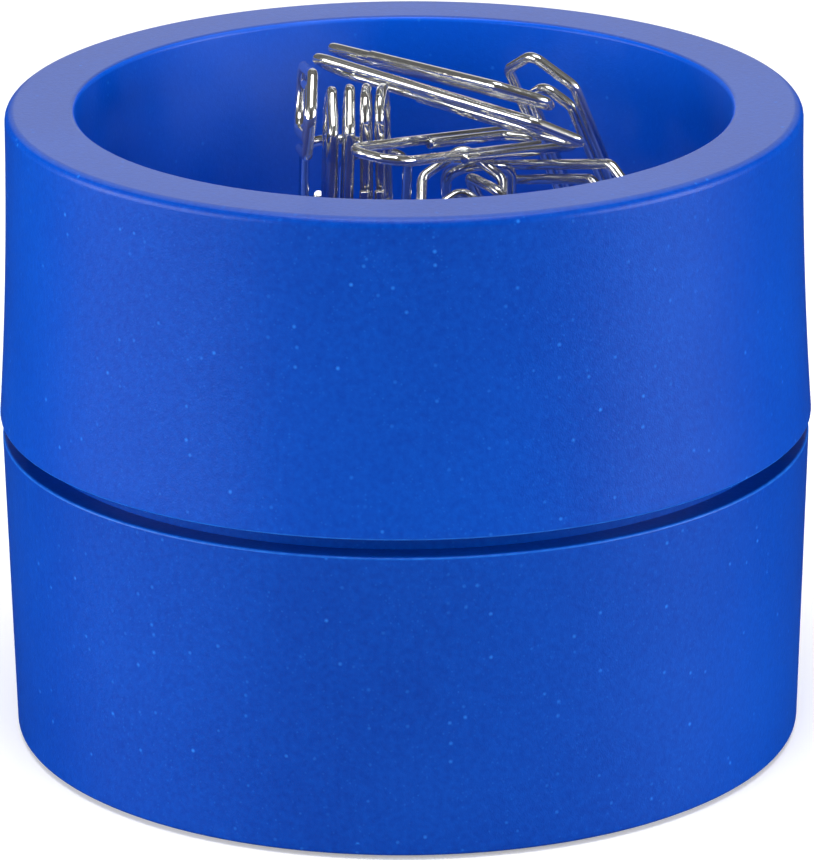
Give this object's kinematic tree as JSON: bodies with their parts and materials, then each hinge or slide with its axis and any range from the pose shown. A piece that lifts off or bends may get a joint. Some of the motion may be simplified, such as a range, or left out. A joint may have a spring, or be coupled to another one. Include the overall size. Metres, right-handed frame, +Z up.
{
  "type": "paper clip holder",
  "caption": "Round desk holder with an open bowl, a shadow groove round its middle and a magnet under the bowl that keeps a heap of wire paper clips.",
  "frame": {"origin": "middle of the foot pad underside, on the table", "axes": "+Z up along the axis of the round body, +X to the right of the reference view, -Y towards its viewer"},
  "size_m": [0.0732, 0.0732, 0.0635],
  "materials": {
    "cup_plastic": "matte soft-touch blue, faintly dusty",
    "base_plastic": "matte soft-touch blue, faintly dusty",
    "plate_plastic": "plain moulded blue",
    "pad_rubber": "matt black",
    "magnet": "plain sintered grey",
    "inner_steel": "zinc-plated",
    "clip_wire": "bright plated wire"
  },
  "bodies": {
    "holder": {"upper_shell": "cup_plastic", "lower_shell": "base_plastic", "base_plate": "plate_plastic", "foot_pad": "pad_rubber", "magnet": "magnet", "backing_disc": "inner_steel", "deck_screw_1": "inner_steel", "deck_screw_2": "inner_steel", "deck_screw_3": "inner_steel", "base_screw_1": "inner_steel", "base_screw_2": "inner_steel", "base_screw_3": "inner_steel"},
    "clip_heap": {"clip_01": "clip_wire", "clip_02": "clip_wire", "clip_03": "clip_wire", "clip_04": "clip_wire", "clip_05": "clip_wire", "clip_06": "clip_wire", "clip_07": "clip_wire", "clip_08": "clip_wire", "clip_09": "clip_wire", "clip_10": "clip_wire", "clip_11": "clip_wire", "clip_12": "clip_wire", "clip_13": "clip_wire", "clip_14": "clip_wire"},
    "clip_edge": {"clip_15": "clip_wire"},
    "clip_under": {"clip_16": "clip_wire"},
    "clip_top": {"clip_17": "clip_wire"}
  },
  "joints": [
    {"name": "heap_lift", "type": "slide", "parent": "holder", "child": "clip_heap", "axis": [0, 0, 1], "range_m": [0, 0.04]},
    {"name": "edge_clip_lift", "type": "slide", "parent": "clip_heap", "child": "clip_edge", "axis": [0, 0, 1], "range_m": [0, 0.03]},
    {"name": "under_clip_lift", "type": "slide", "parent": "clip_heap", "child": "clip_under", "axis": [0, 0, 1], "range_m": [0, 0.03]},
    {"name": "top_clip_lift", "type": "slide", "parent": "clip_under", "child": "clip_top", "axis": [0, 0, 1], "range_m": [0, 0.03]}
  ]
}
